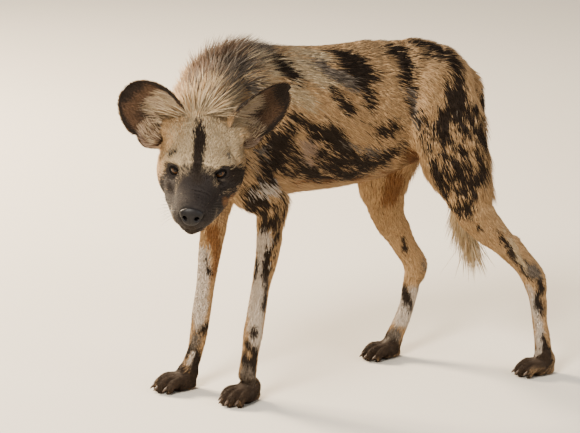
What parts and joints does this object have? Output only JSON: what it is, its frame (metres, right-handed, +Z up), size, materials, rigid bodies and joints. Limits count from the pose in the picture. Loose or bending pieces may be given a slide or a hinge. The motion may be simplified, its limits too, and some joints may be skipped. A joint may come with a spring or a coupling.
{
  "type": "african wild dog model",
  "caption": "Life-size museum model of a standing African wild dog with large rounded ears, blotched coat and white tail brush, head lowered and turned to its left.",
  "frame": {"origin": "centre of the bounding box, on the floor plane under the paws", "axes": "+Z up, -Y ahead of the dog along its spine, +X towards the dog's left"},
  "size_m": [0.4294, 0.8856, 0.6841],
  "materials": {
    "tan_coat": "sandy tan fur",
    "mane": "grizzled grey-brown bristly fur",
    "dark_coat": "blackish-brown short fur",
    "white_coat": "off-white fur",
    "nose_leather": "moist black leather",
    "eye": "polished amber-brown glass eye"
  },
  "bodies": {
    "root": {"torso": "tan_coat", "neck": "mane", "head": "tan_coat", "nose": "nose_leather", "eye_left": "eye", "eye_right": "eye", "ear_left": "dark_coat", "ear_right": "dark_coat", "leg_front_left": "white_coat", "leg_front_right": "tan_coat", "leg_hind_left": "white_coat", "leg_hind_right": "tan_coat", "tail": "white_coat"}
  },
  "joints": []
}
